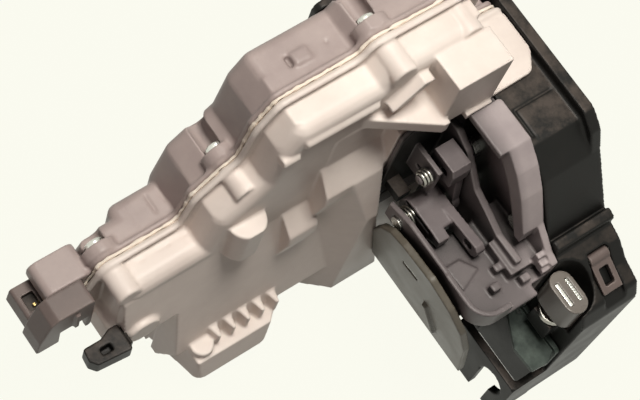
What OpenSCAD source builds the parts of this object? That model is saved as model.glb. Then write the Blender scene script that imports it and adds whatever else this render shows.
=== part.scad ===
// Car door lock with an electric actuator, in millimetres.
// X runs along the casing toward the face plate, Y toward the back, Z up.
// The shapes are drawn from the casing's parting plane and motor bulge; place() then moves
// the origin to the middle of the face plate's bolt pattern.

/* [Casing] */
// Height of the casing below the motor bulge
case_h = 143; // [141:1:147]
// Depth of the housing behind the parting plane
case_back = 19; // [18.5:0.5:20]
// Depth of the cover in front of the parting plane
case_front = 14; // [13.5:0.5:15]
// Depth of the cover beside the levers
lever_front = 27.5; // [27:0.5:28.5]
// Wall thickness of the two shells
wall = 2.2; // [1.6:0.1:2.4]
// How far the joining flange stands out around the shells
flange_w = 2.5; // [2:0.1:3]
// Thickness of the flange on each shell
flange_t = 2.4; // [2:0.1:3]
// Radius of the screw bosses
boss_r = 4.4; // [4:0.1:4.8]
// Radius of the case screws
screw_r = 1.5; // [1.2:0.1:1.8]

/* [Latch] */
// Thickness of the frame with its face plate
frame_t = 24; // [23:0.5:25]
// Reach of the frame in front of the parting plane
frame_reach = 97; // [96:0.5:99]
// Thickness of the face plate and the back plate
plate_t = 2.5; // [2:0.1:2.8]
// Width of the striker mouth
mouth_w = 15; // [13:0.5:16]
// Distance between the two bolts of the face plate
bolt_spacing = 72; // [70:1:73]
// Radius of the tapped bolt holes
bolt_hole_r = 3.4; // [2.5:0.1:3.6]
// Outer radius of the claw
claw_r = 26; // [25:0.2:26.4]
// Thickness of the claw and the pawl
claw_t = 8; // [6:0.5:8]
// Width of the claw's fork slot
slot_w = 11; // [9.5:0.5:12]
// Radius of the claw pin
claw_pin_r = 4; // [3.5:0.1:4.5]
// Radius of the pawl pin
pawl_pin_r = 3; // [2.6:0.1:3.4]

/* [Levers] */
// Radius of the pin that carries both release levers
lever_pin_r = 2.5; // [2:0.1:3]
// Radius of the levers' hubs
hub_r = 6; // [5.5:0.1:6.4]
// Radius of the rod hole in the outside release lever
rod_hole_r = 2; // [1.5:0.1:2.4]
// Length of the key cam across the casing
cam_l = 16; // [14:0.5:16.5]
// Width of the key cam
cam_w = 8.5; // [8:0.5:9]
// Radius of the key cam's shaft
cam_shaft_r = 3.5; // [3:0.1:4]
// Lean of the side wall under the levers, in degrees
lean = 14.2; // [13.5:0.1:14.6]

/* [Locking drive] */
// Width of the motor's flat-sided can
motor_w = 24; // [22:0.5:24]
// Height of the motor's flat-sided can
motor_h = 18; // [16:0.5:18.4]
// Length of the motor's can
motor_l = 26; // [24:0.5:27]
// Outer radius of the worm
worm_r = 4.4; // [4:0.1:4.6]
// Outer radius of the worm wheel
wheel_r = 15; // [14:0.2:15.4]
// Number of teeth of the worm wheel
wheel_teeth = 24; // [20:1:26]
// Pitch radius of the pinion that drives the lock slider
pinion_r = 8; // [7:1:8]

/* [Connector] */
// Height of the connector, open at its foot
conn_h = 21; // [19:0.5:23]
// Number of contacts in each of the connector's two rows
pin_rows = 6; // [4:1:7]

/* [Clearances] */
// Radial gap between a pin and what turns on it
run_fit = 0.05; // [0.03:0.01:0.09]
// Gap between pieces that only lie side by side
gap = 0.3; // [0.25:0.05:0.35]

/* [Hidden] */
$fn = 48;

grey = "#9b8c86";
cream = "#e9dccd";
black = "#2b2826";
steel = "#9aa29b";
zinc = "#c9ccce";
brass = "#b89a5a";

// stations along X
end_x = -78;            // left end of the joining flange
body_x = -70;           // left end of the cover's body
step_x = -52;           // where the casing steps down to its full height
side_x = 55.7;          // right end of the cover's body
flange_x = 75.5;        // right end of the flange, against the frame's end plate
frame_x = side_x + gap; // left face of the frame
face_x = frame_x + frame_t; // outer face of the face plate

// stations along Y
half_gap = gap / 2;
recess_y = -20;         // back wall of the lever space
frame_y = -3;           // rear face of the latch frame
bracket_y = case_back + gap;
bracket_t = 2.7;

// stations along Z
crown_z = 6;            // top of the casing beside the connector flange
step_z = -95;           // bottom of the casing's left end
shelf_z = -24;          // top of the shelf that laps over the frame
base_z = -case_h;
belly_z = base_z + 22;  // foot of the cover's front, where it stands out most
belly_y = -24;

// outline of the joining flange, seen from the front
case_outline = [
  [end_x, step_z], [end_x, -77], [-71, -59.5], [-43, -58], [-39.7, -43], [-25, -29], [-22.5, -12],
  [-16, -1], [13, 0], [17, crown_z], [58, crown_z], [58, shelf_z], [flange_x, shelf_z],
  [flange_x, base_z], [step_x, base_z], [step_x, step_z]];
// screw bosses: place and depth in front of the parting plane
case_bosses = [
  [-67.7, -64, 13.4], [-26.5, -37, 11], [21.5, 1, 14.3], [48, 0, 13],
  [-60, step_z + 7, 11], [-44, base_z + 8, 11], [36, base_z + 8, 11]];

// outline of the frame and its face plate, seen along X
frame_top = shelf_z - 2 - gap;
frame_outline = [
  [frame_y, frame_top], [-46, frame_top], [-56, -35], [-70, -57], [-80, -60.5], [-86, -65.5],
  [-94, -68.5], [-frame_reach, -75], [-frame_reach, base_z], [frame_y, base_z]];

// latch geometry, seen along X
pattern = [-48, -76];   // middle of the bolt pattern
rim_w = 2;              // rim of the frame around the face plate
claw_c = [-34, -104];
pawl_c = [-74, -94];
mouth_c = [-52, -105.5];
lug_c = [-54, -80];     // lug of the pawl, lifted by the outside release lever
lug_r = 2.2;
open_turn = 50;         // the claw rests open, this far from its closed pose
play = 2.5;             // room around the claw inside the frame
skin = 4;               // wall of the frame behind the mechanism
plate_x = face_x - plate_t;
claw_x = plate_x - 4.4 - claw_t;
band = 1.4;             // plastic band around the steel of the claw

// levers
lever_c = [-36, -66];
lever_x0 = 21;
out_x = 26.3;
out_w = 11.7;
in_x = out_x + out_w + 1.5;
in_w = 3.2;
spring_c = [-32, -46];  // post of the override spring
foot = [-60, -50, lug_c[1] - lug_r - 0.8]; // foot under the pawl's lug: front, back, top
wall_x = 16;            // outer face of the leaning side wall at its top
wall_t = 2.6;
cam_c = [56, -85];
cam_z = -66;
cam_h = 14;
cam_seat_z = -85;       // top of the bracket under the key cam
clip_x = frame_x + 10.4;
clip_w = 8;
clip_c = [-80.5, -63];
clip_tilt = 26;

// locking drive
motor_c = [1, -14.9];
motor_x = -12.6;
worm_x = 18;
worm_l = 15;
wheel_c = [worm_x + worm_l / 2, motor_c[1] - worm_r - 0.5 - wheel_r];
wheel_t = 7;
slider_travel = 8.4;
tooth = 0.8;            // height of the pinion's and the rack's teeth above the pitch line
slider_y = motor_c[0] + wheel_t / 2 + gap;
arm_z = -68;

// connector
conn_x = -98.5;
conn_l = end_x - gap - conn_x;
conn_top = -60;
conn_y0 = -9.5;
conn_y1 = 11;

// shared helpers
module place() translate([-face_x, -pattern[0], -pattern[1]]) children();
module along_x(x0, x1) translate([x0, 0, 0]) rotate([90, 0, 90]) linear_extrude(x1 - x0) children();
module along_y(y0, y1) translate([0, y1, 0]) rotate([90, 0, 0]) linear_extrude(y1 - y0) children();
module along_z(z0, z1) translate([0, 0, z0]) linear_extrude(z1 - z0) children();
module box(a, b) translate(a) cube(b - a);
module spot(c, r) translate(c) circle(r = r);
module round_off(r) offset(r = r, $fn = 24) offset(delta = -r) children();
module round_both(r) offset(r = -r, $fn = 24) offset(r = 2 * r, $fn = 24) offset(delta = -r) children();

// coil of wire rings around the X axis at c, from x0 on
module coil_x(x0, c, r, wire, turns)
  for (i = [0 : turns - 1])
    translate([x0 + wire + i * (2 * wire + 0.02), c[0], c[1]])
      rotate([0, 90, 0]) rotate_extrude() translate([r, 0]) circle(r = wire, $fn = 24);

module case_flat() {
  round_both(3.5) polygon(case_outline);
  for (b = case_bosses) spot([b[0], b[1]], boss_r + 1);
}
module case_inner(d) offset(delta = -d) polygon(case_outline);
module frame_flat(d) offset(delta = -d) round_off(2.5) polygon(frame_outline);

// the housing's three depths, seen from the back and drawn in by d from the skirt
case_steps = [case_back - 7, case_back - 3, case_back];
case_edges = [-80, -59, -41.5];
module depth_flat(i, d) intersection() {
  case_inner(flange_w + d);
  translate([case_edges[i] + d, base_z]) square([200, 200]);
}

module actuator_housing() color(grey) place() difference() {
  union() {
    along_y(half_gap, flange_t) case_flat();
    along_y(half_gap, case_steps[0] - round_r) depth_flat(0, 0);
    for (i = [0 : 2]) minkowski() {
      along_y(1 + round_r, case_steps[i] - round_r) depth_flat(i, round_r);
      sphere(r = round_r, $fn = 16);
    }
    for (b = case_bosses) along_y(half_gap, 6) spot([b[0], b[1]], boss_r);
    // end block over the connector
    along_y(half_gap, 12) round_off(2.5) polygon([[-89.5, -72.7], [-89.5, -64], [end_x + 5, -64],
      [end_x + 5, -72.7]]);
  }
  for (i = [0, 2]) along_y(-1, case_steps[i] - wall) difference() {
    depth_flat(i, wall);
    for (b = case_bosses) spot([b[0], b[1]], boss_r);
  }
  for (b = case_bosses) along_y(-1, 30) spot([b[0], b[1]], screw_r + 0.1);
  for (b = case_bosses) along_y(6, 30) spot([b[0], b[1]], 2 * screw_r + 0.8);
  along_y(-1, 0.7) seal_flat(0.1);
  // seat of the wheel's axle and way for the wires
  along_y(case_back - wall - 1, case_back - 0.8) spot(wheel_c, 2 + run_fit);
  box([-85, 2, -71], [end_x + 12, 8, -67]);
  for (s = bracket_spots) along_y(case_back - wall - 1, case_back + 1) spot(s, screw_r + 0.1);
}
bracket_spots = [[20, -56], [44, -94]];
round_r = 3.5;          // rounding of the two shells' outer edges

// shape of the cover's front toward the levers, seen from above
swell = [[2, -case_front + 1], [2, -case_front], [18, -lever_front], [side_x - 2.5, -lever_front],
  [side_x - 2.5, -case_front + 1]];

module pad(x0, x1, top, drop) along_x(x0, x1) round_off(1.5) polygon([[-case_front + 3, top + 1],
  [-case_front, top], [-case_front - 7, top - drop], [-case_front - 7.5, top - drop - 5],
  [-case_front - 3, top - drop - 26], [-case_front + 3, top - drop - 26]]);

// outline of the cover's body, drawn in by d
front_r = 5;
module front_flat(d) intersection() {
  case_inner(flange_w + d);
  translate([body_x + d, base_z]) square([side_x - 2.5 - body_x - 2 * d, 160]);
}

module cover_body() {
  along_y(-flange_t, -half_gap) case_flat();
  along_y(-case_front + front_r, -half_gap) front_flat(0);
  minkowski() {
    along_y(-case_front + front_r, -1 - front_r) front_flat(front_r);
    sphere(r = front_r, $fn = 16);
  }
  // sloped front that swells toward its foot
  intersection() {
    along_x(body_x, side_x - 2.5) polygon([[-case_front + 2, -64], [-case_front, -68],
      [belly_y, belly_z], [-case_front, base_z], [-case_front + 2, base_z]]);
    along_y(-60, 0) front_flat(0);
  }
  for (b = case_bosses) along_y(-b[2], -half_gap) spot([b[0], b[1]], boss_r);
  // part beside the levers
  intersection() {
    along_z(base_z, shelf_z) polygon(swell);
    along_y(-40, 0) case_inner(flange_w);
  }
  along_z(-40, -18) polygon([[11, -case_front + 1], [11, -case_front], [32, -lever_front - 0.5],
    [34, -lever_front - 0.5], [34, -case_front + 1]]);
  box([33, -26, shelf_z - 1], [54, -case_front + 1, 1.5]);
  along_z(shelf_z - 2, shelf_z) round_off(2.4) polygon([[50, -2], [flange_x, -2],
    [flange_x, -19], [71, -25.5], [50, -26]]);
}

module cover_trim() {
  // ribs along the front edge
  along_x(-13, 14) spot([-case_front + 0.8, -10], 2.2);
  along_x(-20, -14) spot([-case_front + 0.8, -16.5], 2);
  pad(0, 27, -42, 10);
  pad(-10, 1.5, -66, 7);
  // half-round pad under the second boss
  along_z(-68, -49) intersection() {
    spot([-27, -case_front], 6.7);
    translate([-40, -case_front - 6]) square([30, 9]);
  }
  // hook tab under the bulges
  along_y(-case_front - 4, -case_front + 1) polygon([[17, -12], [21, -12], [31, -3], [27, -2]]);
  // lip and rib block of the left end
  along_y(-case_front - 5, -case_front + 1) spot([-63, -88], 6);
  along_y(-13, -3) round_off(1) polygon([[-73, -101], [-73, -88], [-69, -84], [-66, -84], [-66, -101]]);
  // nub at the foot
  box([14, -21, base_z], [22, -case_front + 1, base_z + 9]);
}

// ledge with a comb of short fins at the foot of the cover
comb_x = [-45.5, -6.5];
comb_y = -30.5;
fin_n = 5;
module cover_comb() {
  intersection() {
    along_x(comb_x[0], comb_x[1]) polygon([[-15, belly_z - 0.5], [comb_y, belly_z - 0.5],
      [comb_y - 2, belly_z - 13], [-17, base_z], [-15, base_z]]);
    along_z(base_z, belly_z) round_off(3) polygon([[comb_x[0], -10], [comb_x[0] + 1, comb_y - 2],
      [comb_x[1] - 10, comb_y - 2], [comb_x[1], -23], [comb_x[1], -10]]);
  }
  for (i = [1 : fin_n]) translate([comb_x[0] + 4.5 + 6 * i, 0, 0])
    along_z(belly_z - 1, belly_z + 7.5) polygon([[-2.6, -20], [-0.5, belly_y - 3.6], [0.5, belly_y - 3.6],
      [2.6, -20]]);
  along_z(belly_z - 1, belly_z + 3) spot([comb_x[0] + 5, belly_y - 1.5], 4.2);
}

// room of the levers in the cover's front; its left edge leans with the side wall
module recess_flat(d) offset(r = 10, $fn = 24) polygon([[32.5 + d + 100 * tan(lean), -178],
  [32.5 + d, -78], [32.5 + d, shelf_z - 12.5 - d], [90, shelf_z - 12.5 - d], [90, -178]]);
module lever_recess(d) along_y(-60, recess_y + d) recess_flat(d);

module actuator_cover() color(cream) place() difference() {
  union() {
    difference() {
      union() {
        cover_body();
        cover_trim();
      }
      lever_recess(0);
    }
    cover_comb();
  }
  along_y(-case_front + wall, 1) difference() {
    intersection() {
      case_inner(flange_w + wall);
      translate([body_x + wall, base_z]) square([side_x - 2.5 - body_x - 2 * wall, 160]);
    }
    for (b = case_bosses) spot([b[0], b[1]], boss_r);
  }
  box([29 + wall, recess_y + wall, belly_z + 1],
    [side_x - 2.5 - wall, -case_front + wall + 1, shelf_z - 3]);
  for (b = case_bosses) along_y(-b[2] + 2, 1) spot([b[0], b[1]], screw_r + 0.1);
  along_y(-0.7, 1) seal_flat(0.1);
  // slot for the lock slider's arm
  box([25.4, recess_y - 1, arm_z - slider_travel - 1], [31.6, -case_front + wall + 1, arm_z + 5]);
  // seat of the wheel's axle
  along_y(-case_front + 1, -case_front + wall + 1) spot(wheel_c, 2 + run_fit);
}

// the seal's ring around the flange, grown by d for its groove
module seal_flat(d) difference() {
  offset(delta = 0.25 + d) case_flat();
  offset(delta = -1.2 - d) case_flat();
}
module case_seal() color("#f4efe8") place() along_y(-0.6, 0.6) seal_flat(0);

// screw along Y with its head at the back
module screw_y(s, tip, seat) {
  along_y(tip, seat) spot(s, screw_r);
  along_y(seat, seat + 2.2) difference() {
    spot(s, 2 * screw_r + 0.5);
    spot(s, 1, $fn = 6);
  }
}

module case_screws() color(zinc) place()
  for (b = case_bosses) screw_y([b[0], b[1]], -b[2] + 2.5, 6);

over_y = -lever_front - gap; // rear edge of what laps over the cover's shelf
u_outline = [[recess_y - gap, -26.8], [over_y, -26.8], [over_y, -23], [-44, -23], [-51, -29],
  [-57, -37], [-64, -50], [-72, -57], [-80, -61], [-80, -90], [recess_y - gap, -90]];

// floor of the levers' trough, round at its left end
module trough_flat() {
  spot([lever_x0 + 8.5, -71.5], 8.5);
  translate([lever_x0, -71.5]) square([17, 23.5]);
  translate([lever_x0 + 8.5, -80]) square([side_x - 1 - lever_x0 - 8.5, 32]);
}

module lever_housing() color(grey) place() difference() {
  union() {
    // wall against the frame, its flange over the cube lever, and the back of the levers' room
    along_x(side_x - 2.6, side_x) round_off(1.5) polygon(u_outline);
    box([43.5, -44, -25.6], [side_x - 1, over_y, -23]);
    along_y(recess_y - gap - 1.8, recess_y - gap) intersection() {
      offset(delta = -gap) recess_flat(0);
      translate([24, -88]) square([side_x - 25, 80]);
    }
    // low inner wall, and the deep band that follows the frame
    along_x(43.5, 46) polygon([[recess_y - gap, -37], [-26.5, -36.4], [-33.5, -40], [-43, -52],
      [-50, -55], [-58, -59], [-69, -59], [-69, -69], [-30, -72], [recess_y - gap, -60]]);
    along_x(47, side_x - 1) polygon([[over_y, -23], [-44, -23], [-51, -29], [-57, -37], [-64, -50],
      [-64, -56], [-61.5, -56], [-57, -48.5], [-50, -38], [-43, -31], [over_y, -28.5]]);
    // floor of the trough with its rim, and the bright ledge
    along_z(-69, -66.5) trough_flat();
    along_z(-68, -59.5) difference() {
      trough_flat();
      offset(delta = -1.8) trough_flat();
      translate([34, -100]) square([40, 60]);
      translate([20, -58]) square([40, 20]);
    }
    box([41, -71, -68], [side_x - 1, -58, -62]);
    box([46, -60, -68], [side_x - 1, -47, -62]);
    // lug that holds the left end of the lever pin
    along_x(lever_x0, lever_x0 + 1.8) polygon([[-30, -70], [-50, -70], [-60, -68], [-60, -59],
      [-40, -59], [-30, -62]]);
    box([lever_x0, -50, -69], [lever_x0 + 6, -46, -66.5]);
    // slotted plate with the post of the override spring
    box([31.6, -35, -56], [33.4, recess_y - gap, -42]);
    along_x(26.5, 32) spot(spring_c, 1.7);
    // steps and clips
    for (i = [0 : 2]) box([50, -72 - 2.6 * i, -63], [side_x - 0.5, -70 - 2.6 * i, -57 - 1.8 * i]);
    for (c = [[38, -66], [33, -71], [43.5, -73.5]])
      box([c[0], c[1] - 1.5, -67], [c[0] + 3.5, c[1] + 1.2, -63]);
    along_z(-66.6, -66) polygon([[25.5, -57], [26, -66], [34.5, -62.5], [31, -57]]);
  }
  box([31, -33, -51], [34, -26, -49.4]);
  box([25.1, recess_y - 3, arm_z - slider_travel - 1], [31.9, recess_y + 1, arm_z + 5]);
  along_x(lever_x0 - 1, side_x + 1) spot(lever_c, lever_pin_r + run_fit);
  // window of the pawl's lug
  along_x(46, side_x + 1) polygon([[-50, -84], [-50, -70], [-63.5, -70], [-63.5, -84]]);
  for (s = frame_spots) along_x(side_x - 5, side_x + 1) spot(s, screw_r + 0.1);
  box([cam_c[0] - 9, cam_c[1] - 9.3, -95], [side_x + 1, cam_c[1] + 9, cam_z + 12]);
}

module lean_wall(x, t) translate([wall_x, 0, -62]) rotate([0, -lean, 0])
  translate([-wall_x, 0, 62]) along_x(x, x + t) children();

module lever_cover() color("#a39a8c") place() difference() {
  union() {
    lean_wall(wall_x, wall_t) round_off(3) polygon([[over_y, -92], [-32, -76], [-37, -66.5],
      [-44, -62.5], [-59, -60], [-70, -65], [-77, -74], [-80, -88], [-80, belly_z - 19],
      [over_y, belly_z - 19]]);
    lean_wall(wall_x - 1.4, 2) polygon([[-58, -92], [-60, -92], [-66, -112], [-64, -112]]);
    box([31.5, -64, belly_z], [side_x - 3, over_y, belly_z + wall_t]);
  }
  box([0, -100, belly_z - 40], [100, 0, belly_z]);
  lean_wall(wall_x - 3, 8) polygon([[-45, -78.5], [-45, -82], [-53, -80], [-53, -76.5]]);
}

module spring_post() color(zinc) place()
  lean_wall(wall_x + 0.4, 1.6) polygon([[-45.3, -79], [-45.3, -81.6], [-52.7, -79.7], [-52.7, -77.2]]);

// the row of screws that joins the carrier to the frame: places seen along X
frame_spots = [[-32, -33], [-58, -58], [-30, -52]];
module frame_screws() color(zinc) place() for (s = frame_spots) {
  along_x(side_x - 2.6, frame_x + 10) spot(s, screw_r);
  along_x(side_x - 4.8, side_x - 2.6) difference() {
    spot(s, 2 * screw_r + 0.4);
    spot(s, 1, $fn = 6);
  }
}
module bracket_screws() color(zinc) place() for (s = bracket_spots) {
  along_y(case_back - wall - 0.8, bracket_y + 1) spot(s, screw_r);
  along_y(bracket_y + 1, bracket_y + bracket_t) difference() {
    spot(s, 2 * screw_r + 0.4);
    spot(s, 1, $fn = 6);
  }
}

module claw_space() {
  spot(claw_c, claw_r + play);
  spot(pawl_c, 9.2);
  polygon([[-76, -85.5], [-66, -69], [-52, -68], [-40, -80], [-60, -104], [-78, -102]]);
}
module mouth(w) {
  spot(mouth_c, w / 2);
  translate([mouth_c[0] - w / 2, base_z - 5]) square([w, mouth_c[1] - base_z + 5]);
}
// room of the pawl's lug in the frame's back wall
module lug_way(d) offset(delta = d) polygon([[-51, -83], [-51, -78], [-55.5, -72.5], [-61, -72.5],
  [-61, -77], [-57, -83]]);

tab_x = 41;
tab_z = base_z + 27;
module latch_frame() color(black) place() difference() {
  union() {
    along_x(frame_x, face_x) frame_flat(0);
    // end plate beside the casing, and the bracket behind it
    along_x(flange_x + gap, face_x) round_off(2) polygon([[bracket_y + bracket_t, -22.5],
      [-46, -22.5], [-52, -27], [-56, -35], [-56, -60], [frame_y - 2, -100],
      [bracket_y + bracket_t, -100]]);
    along_y(bracket_y, bracket_y + bracket_t) round_off(3) polygon([[14, -62], [14, -5], [60, -5],
      [60, -22.5], [face_x - 1, -22.5], [face_x - 1, -100], [32, -100], [32, -62]]);
    // ridge on the slope, bracket under the key cam and notched tab
    along_x(frame_x, face_x) round_off(0.8) polygon([[-70, -58], [-70, -53.5], [-74, -54.5],
      [-74, -62]]);
    box([cam_c[0] - 4.6, cam_c[1] - 4.6, cam_seat_z - 9], [frame_x + 1, cam_c[1] + 4.6, cam_seat_z]);
    along_x(tab_x, tab_x + 3) round_off(1) polygon([[-66, tab_z], [-97, tab_z], [-97, base_z],
      [-66, base_z]]);
    box([tab_x + 1, -97, base_z], [frame_x + 1, -94.5, tab_z]);
    box([tab_x + 1, -68.5, base_z], [frame_x + 1, -66, tab_z]);
  }
  // recess of the face plate and room of the mechanism
  along_x(plate_x - 0.05, face_x + 1) frame_flat(rim_w - 0.1);
  along_x(frame_x + skin, plate_x + 1) claw_space();
  along_x(frame_x + skin, plate_x + 1) lug_way(0.5);
  along_x(frame_x - 1, frame_x + skin + 1) lug_way(0);
  along_x(frame_x - 1, face_x + 1) mouth(mouth_w);
  along_x(frame_x + 0.3, frame_x + skin) mouth(mouth_w + 5);
  along_x(frame_x - 1, face_x + 1) spot(claw_c, claw_pin_r + 0.02);
  along_x(frame_x - 1, face_x + 1) spot(pawl_c, pawl_pin_r + 0.02);
  for (s = [-1, 1]) along_x(plate_x - 6, plate_x + 1)
    spot(pattern + [s * bolt_spacing / 2, 0], bolt_hole_r + 2.8);
  for (s = [-1, 1]) along_x(plate_x - 9, plate_x + 1)
    spot(pattern + [s * bolt_spacing / 2, 0], bolt_hole_r + 0.9);
  for (s = frame_spots) along_x(frame_x - 1, frame_x + 10.5) spot(s, screw_r + 0.1);
  for (s = bracket_spots) {
    along_y(bracket_y - 1, bracket_y + 9) spot(s, screw_r + 0.1);
    along_y(bracket_y + 1, bracket_y + 9) spot(s, 2 * screw_r + 0.6);
  }
  // seat of the key cam
  along_z(cam_seat_z, -40) spot(cam_c, cam_l / 2 + 0.7);
  along_z(cam_seat_z - 20, -40) spot(cam_c, cam_shaft_r + run_fit);
  // seat of the cable clip
  on_slope() box([-gap, -20, -1.6], [clip_w + gap, 2.6, 20]);
  on_slope() along_x(-gap, clip_w + gap) circle(r = 2.6);
  along_x(clip_x - 2, clip_x + clip_w + 2) spot(clip_c, 1 + 0.02);
  // groove line across the top
  box([frame_x + 2, -33.4, frame_top - 0.8], [frame_x + 18, -32.4, frame_top + 4]);
  box([frame_x + 2, -44, frame_top - 0.8], [frame_x + 3, -32.4, frame_top + 4]);
  // notch of the tab
  along_x(tab_x - 1, tab_x + 4) {
    spot([-88, tab_z - 10.5], 5.6);
    translate([-89.5, base_z - 5]) square([7, 21]);
  }
  box([0, -150, base_z - 9], [200, 100, base_z]);
}

module face_plate() color(steel) place() difference() {
  union() {
    along_x(plate_x, face_x) frame_flat(rim_w);
    for (s = [-1, 1]) along_x(plate_x - 5.5, plate_x + 1)
      spot(pattern + [s * bolt_spacing / 2, 0], bolt_hole_r + 2.4);
  }
  for (s = [-1, 1]) along_x(plate_x - 9, face_x + 1)
    spot(pattern + [s * bolt_spacing / 2, 0], bolt_hole_r);
  along_x(plate_x - 1, face_x + 1) mouth(mouth_w - 1);
  along_x(plate_x - 1, face_x + 1) spot(claw_c, claw_pin_r + 0.02);
  along_x(plate_x - 1, face_x + 1) spot(pawl_c, pawl_pin_r + 0.02);
}

back_x = side_x - 1.8;
module back_plate() color(steel) place() difference() {
  union() {
    along_x(back_x, side_x) round_off(2) polygon([[-22, -93], [-60, -93], [-68, -96.5],
      [-96, -96.5], [-96, base_z + 30], [-64, base_z + 30], [-60, base_z + 15],
      [-22, base_z + 15]]);
    along_z(-100, -98.2) round_off(1) polygon([[side_x - 1, -94], [50, -97], [43.6, -96.5],
      [43, -87], [47, -79], [50, -73.5], [side_x - 1, -70.5]]);
  }
  along_z(-101, -98) polygon([[51.5, -77.5], [side_x - 2.6, -78.5], [side_x - 2.6, -72.5],
    [52.5, -72.5]]);
  along_x(back_x - 1, side_x + 1) mouth(mouth_w);
  along_x(back_x - 1, side_x + 1) spot(claw_c, claw_pin_r + 0.02);
  along_x(back_x - 1, side_x + 1) spot(pawl_c, pawl_pin_r + 0.02);
}

// steel of the claw in its closed pose: fork slot toward the mouth, catch for the pawl
module claw_flat(d) difference() {
  spot(claw_c, claw_r - d);
  translate(claw_c) {
    translate([-claw_r - 10, -slot_w / 2 - d]) square([claw_r - 2, slot_w + 2 * d]);
    translate([-12, 0]) circle(r = slot_w / 2 + d);
    rotate(118) translate([claw_r - 5 - d, -2 - d]) square([20, 30]);
    rotate(-95) translate([claw_r - 4 - d, -12]) square([20, 24]);
  }
}
// turned to the open pose, where the part rests
module claw_open() translate(claw_c) rotate(open_turn) translate(-claw_c) children();

module claw() color(steel) place() along_x(claw_x, claw_x + claw_t) claw_open() difference() {
  claw_flat(band);
  spot(claw_c, claw_pin_r + run_fit);
}
module claw_jacket() color("#3a3a3c") place() along_x(claw_x - 0.6, claw_x + claw_t + 0.6) claw_open()
  difference() {
    claw_flat(0);
    claw_flat(band);
  }
module claw_pin() color(zinc) place() along_x(back_x, face_x - 0.1) spot(claw_c, claw_pin_r);

module pawl_flat() {
  spot(pawl_c, 6.6);
  polygon([[-76, -88.2], [-63, -76.5], [-55, -74.5], [-49.4, -77.5], pawl_tip, [-60, -89.4],
    [-70.5, -99]]);
}
pawl_tip = claw_c + (claw_r + gap) * [cos(128), sin(128)];
module pawl() color(steel) place() difference() {
  union() {
    along_x(claw_x, claw_x + claw_t) pawl_flat();
    along_x(46.5, claw_x + 1) spot(lug_c, lug_r);
  }
  along_x(claw_x - 1, claw_x + claw_t + 1) spot(pawl_c, pawl_pin_r + run_fit);
}
module pawl_pin() color(zinc) place() along_x(back_x, face_x - 0.1) spot(pawl_c, pawl_pin_r);

// return springs beside the claw and the pawl, each with one leg on the frame's wall
module claw_spring() color(zinc) place() {
  coil_x(frame_x + skin + 0.1, claw_c, claw_pin_r + 1.4, 0.9, 2);
  along_x(frame_x + skin + 0.2, frame_x + skin + 1.8)
    polygon([[claw_c[0] + 4.6, claw_c[1]], [claw_c[0] + 6.2, claw_c[1]],
      [claw_c[0] + 10, claw_c[1] - 22], [claw_c[0] + 8.6, claw_c[1] - 22]]);
}
module pawl_spring() color(zinc) place() {
  coil_x(frame_x + skin + 0.1, pawl_c, pawl_pin_r + 1.2, 0.8, 2);
  along_x(frame_x + skin + 0.2, frame_x + skin + 1.6)
    polygon([[pawl_c[0] - 3.6, pawl_c[1]], [pawl_c[0] - 5, pawl_c[1]],
      [pawl_c[0] - 6.4, pawl_c[1] + 5.6], [pawl_c[0] - 5, pawl_c[1] + 5.6]]);
}

module striker_buffer() color("#1f1f1f") place() along_x(frame_x + 0.6, frame_x + skin - 0.2)
  difference() {
    intersection() {
      mouth(mouth_w + 4.6);
      translate([-70, mouth_c[1] - 6]) square([40, 30]);
    }
    mouth(mouth_w - 1);
  }

arm_end = -58;          // end of the rod's arm
module outside_release_lever() color("#857a76") place() difference() {
  union() {
    along_x(out_x, out_x + out_w) spot(lever_c, hub_r);
    // block over the hub, with a short arm and the rod's arm beyond it
    along_x(out_x, out_x + out_w) round_off(1) polygon([[-31, -66], [-31, -62.5], [-33, -60.2],
      [-46.4, -60.2], [-46.4, -65.6], [-38, -68]]);
    along_x(out_x, out_x + 4.6) polygon([[-45, -60.2], [-50, -60.8], [-50, -64.6], [-45, -65.6]]);
    along_x(out_x + out_w - 3.4, out_x + out_w) round_off(1) polygon([[-40, -60.2], [arm_end, -58.4],
      [arm_end - 1.5, -60], [arm_end - 1.5, -63], [arm_end, -64.6], [-40, -65.6]]);
    // arm below the trough, with the foot under the pawl's lug
    along_x(out_x + 1, out_x + 5) polygon([[-32, -70], [-42, -66], [-56, -83.5], [-56, -86.5],
      [-50, -86.5]]);
    box([out_x + 1, foot[0], foot[2] - 3.2], [50.5, foot[1], foot[2]]);
  }
  along_x(out_x - 1, out_x + out_w + 1) spot(lever_c, lever_pin_r + run_fit);
  along_x(out_x + out_w - 4, out_x + out_w + 1) spot([arm_end + 3.2, -61.6], rod_hole_r);
  // slot in the side of the block
  box([out_x - 1, -45, -63.2], [out_x + 1.6, -32, -61.6]);
}

module inside_release_lever() color("#7c716c") place() difference() {
  union() {
    along_x(in_x, in_x + in_w) {
      spot(lever_c, hub_r - 0.4);
      polygon([[-31, -64], [-27.5, -48], [-27.5, -42], [-36, -42], [-40, -62]]);
    }
    along_x(in_x - 4.3, in_x + in_w) polygon([[-27.2, -40], [-27.2, -49], [-33, -50], [-38.4, -49],
      [-38.4, -43], [-37, -40]]);
  }
  along_x(in_x - 5, in_x + in_w + 1) spot(lever_c, lever_pin_r + run_fit);
  along_x(in_x - 5, in_x + in_w + 1) spot([-34, -45], 1.6);
}

module lever_pin() color(zinc) place() along_x(lever_x0 - 0.6, side_x - 0.2) spot(lever_c, lever_pin_r);

module lever_spring() color(zinc) place() {
  coil_x(lever_x0 + 2, lever_c, lever_pin_r + 1.2, 0.6, 2);
  translate([lever_x0 + 2, lever_c[0] + 3.2, lever_c[1] - 5]) cube([1, 1, 5]);
}

module override_spring() color(zinc) place() coil_x(27, spring_c, 2.4, 0.6, 3);

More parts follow.
